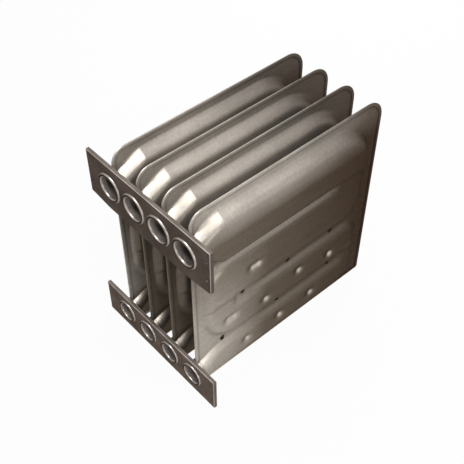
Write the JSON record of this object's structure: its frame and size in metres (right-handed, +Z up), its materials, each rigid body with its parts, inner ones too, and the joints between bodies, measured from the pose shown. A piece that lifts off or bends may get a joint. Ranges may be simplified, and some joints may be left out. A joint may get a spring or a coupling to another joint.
{
  "type": "furnace heat exchanger",
  "caption": "Row of pressed steel clamshell cells with serpentine gas passes, held at their round ports by an inlet plate above and an outlet plate below.",
  "frame": {"origin": "middle of the whole part's footprint, on the plane it stands on", "axes": "+X along the row of cells, -Y out of the ports, +Z up"},
  "size_m": [0.316, 0.4536, 0.45],
  "materials": {
    "cell_sheet": "satin aluminised steel, heat-dulled",
    "plate_sheet": "satin aluminised steel plate",
    "ferrule_steel": "satin rolled steel tube",
    "eyelet_steel": "plated steel"
  },
  "bodies": {
    "root": {"cell_1_left_half": "cell_sheet", "cell_1_right_half": "cell_sheet", "cell_1_eyelets": "eyelet_steel", "inlet_ferrule_1": "ferrule_steel", "outlet_ferrule_1": "ferrule_steel", "cell_2_left_half": "cell_sheet", "cell_2_right_half": "cell_sheet", "cell_2_eyelets": "eyelet_steel", "inlet_ferrule_2": "ferrule_steel", "outlet_ferrule_2": "ferrule_steel", "cell_3_left_half": "cell_sheet", "cell_3_right_half": "cell_sheet", "cell_3_eyelets": "eyelet_steel", "inlet_ferrule_3": "ferrule_steel", "outlet_ferrule_3": "ferrule_steel", "cell_4_left_half": "cell_sheet", "cell_4_right_half": "cell_sheet", "cell_4_eyelets": "eyelet_steel", "inlet_ferrule_4": "ferrule_steel", "outlet_ferrule_4": "ferrule_steel", "inlet_plate": "plate_sheet", "outlet_plate": "plate_sheet"}
  },
  "joints": []
}
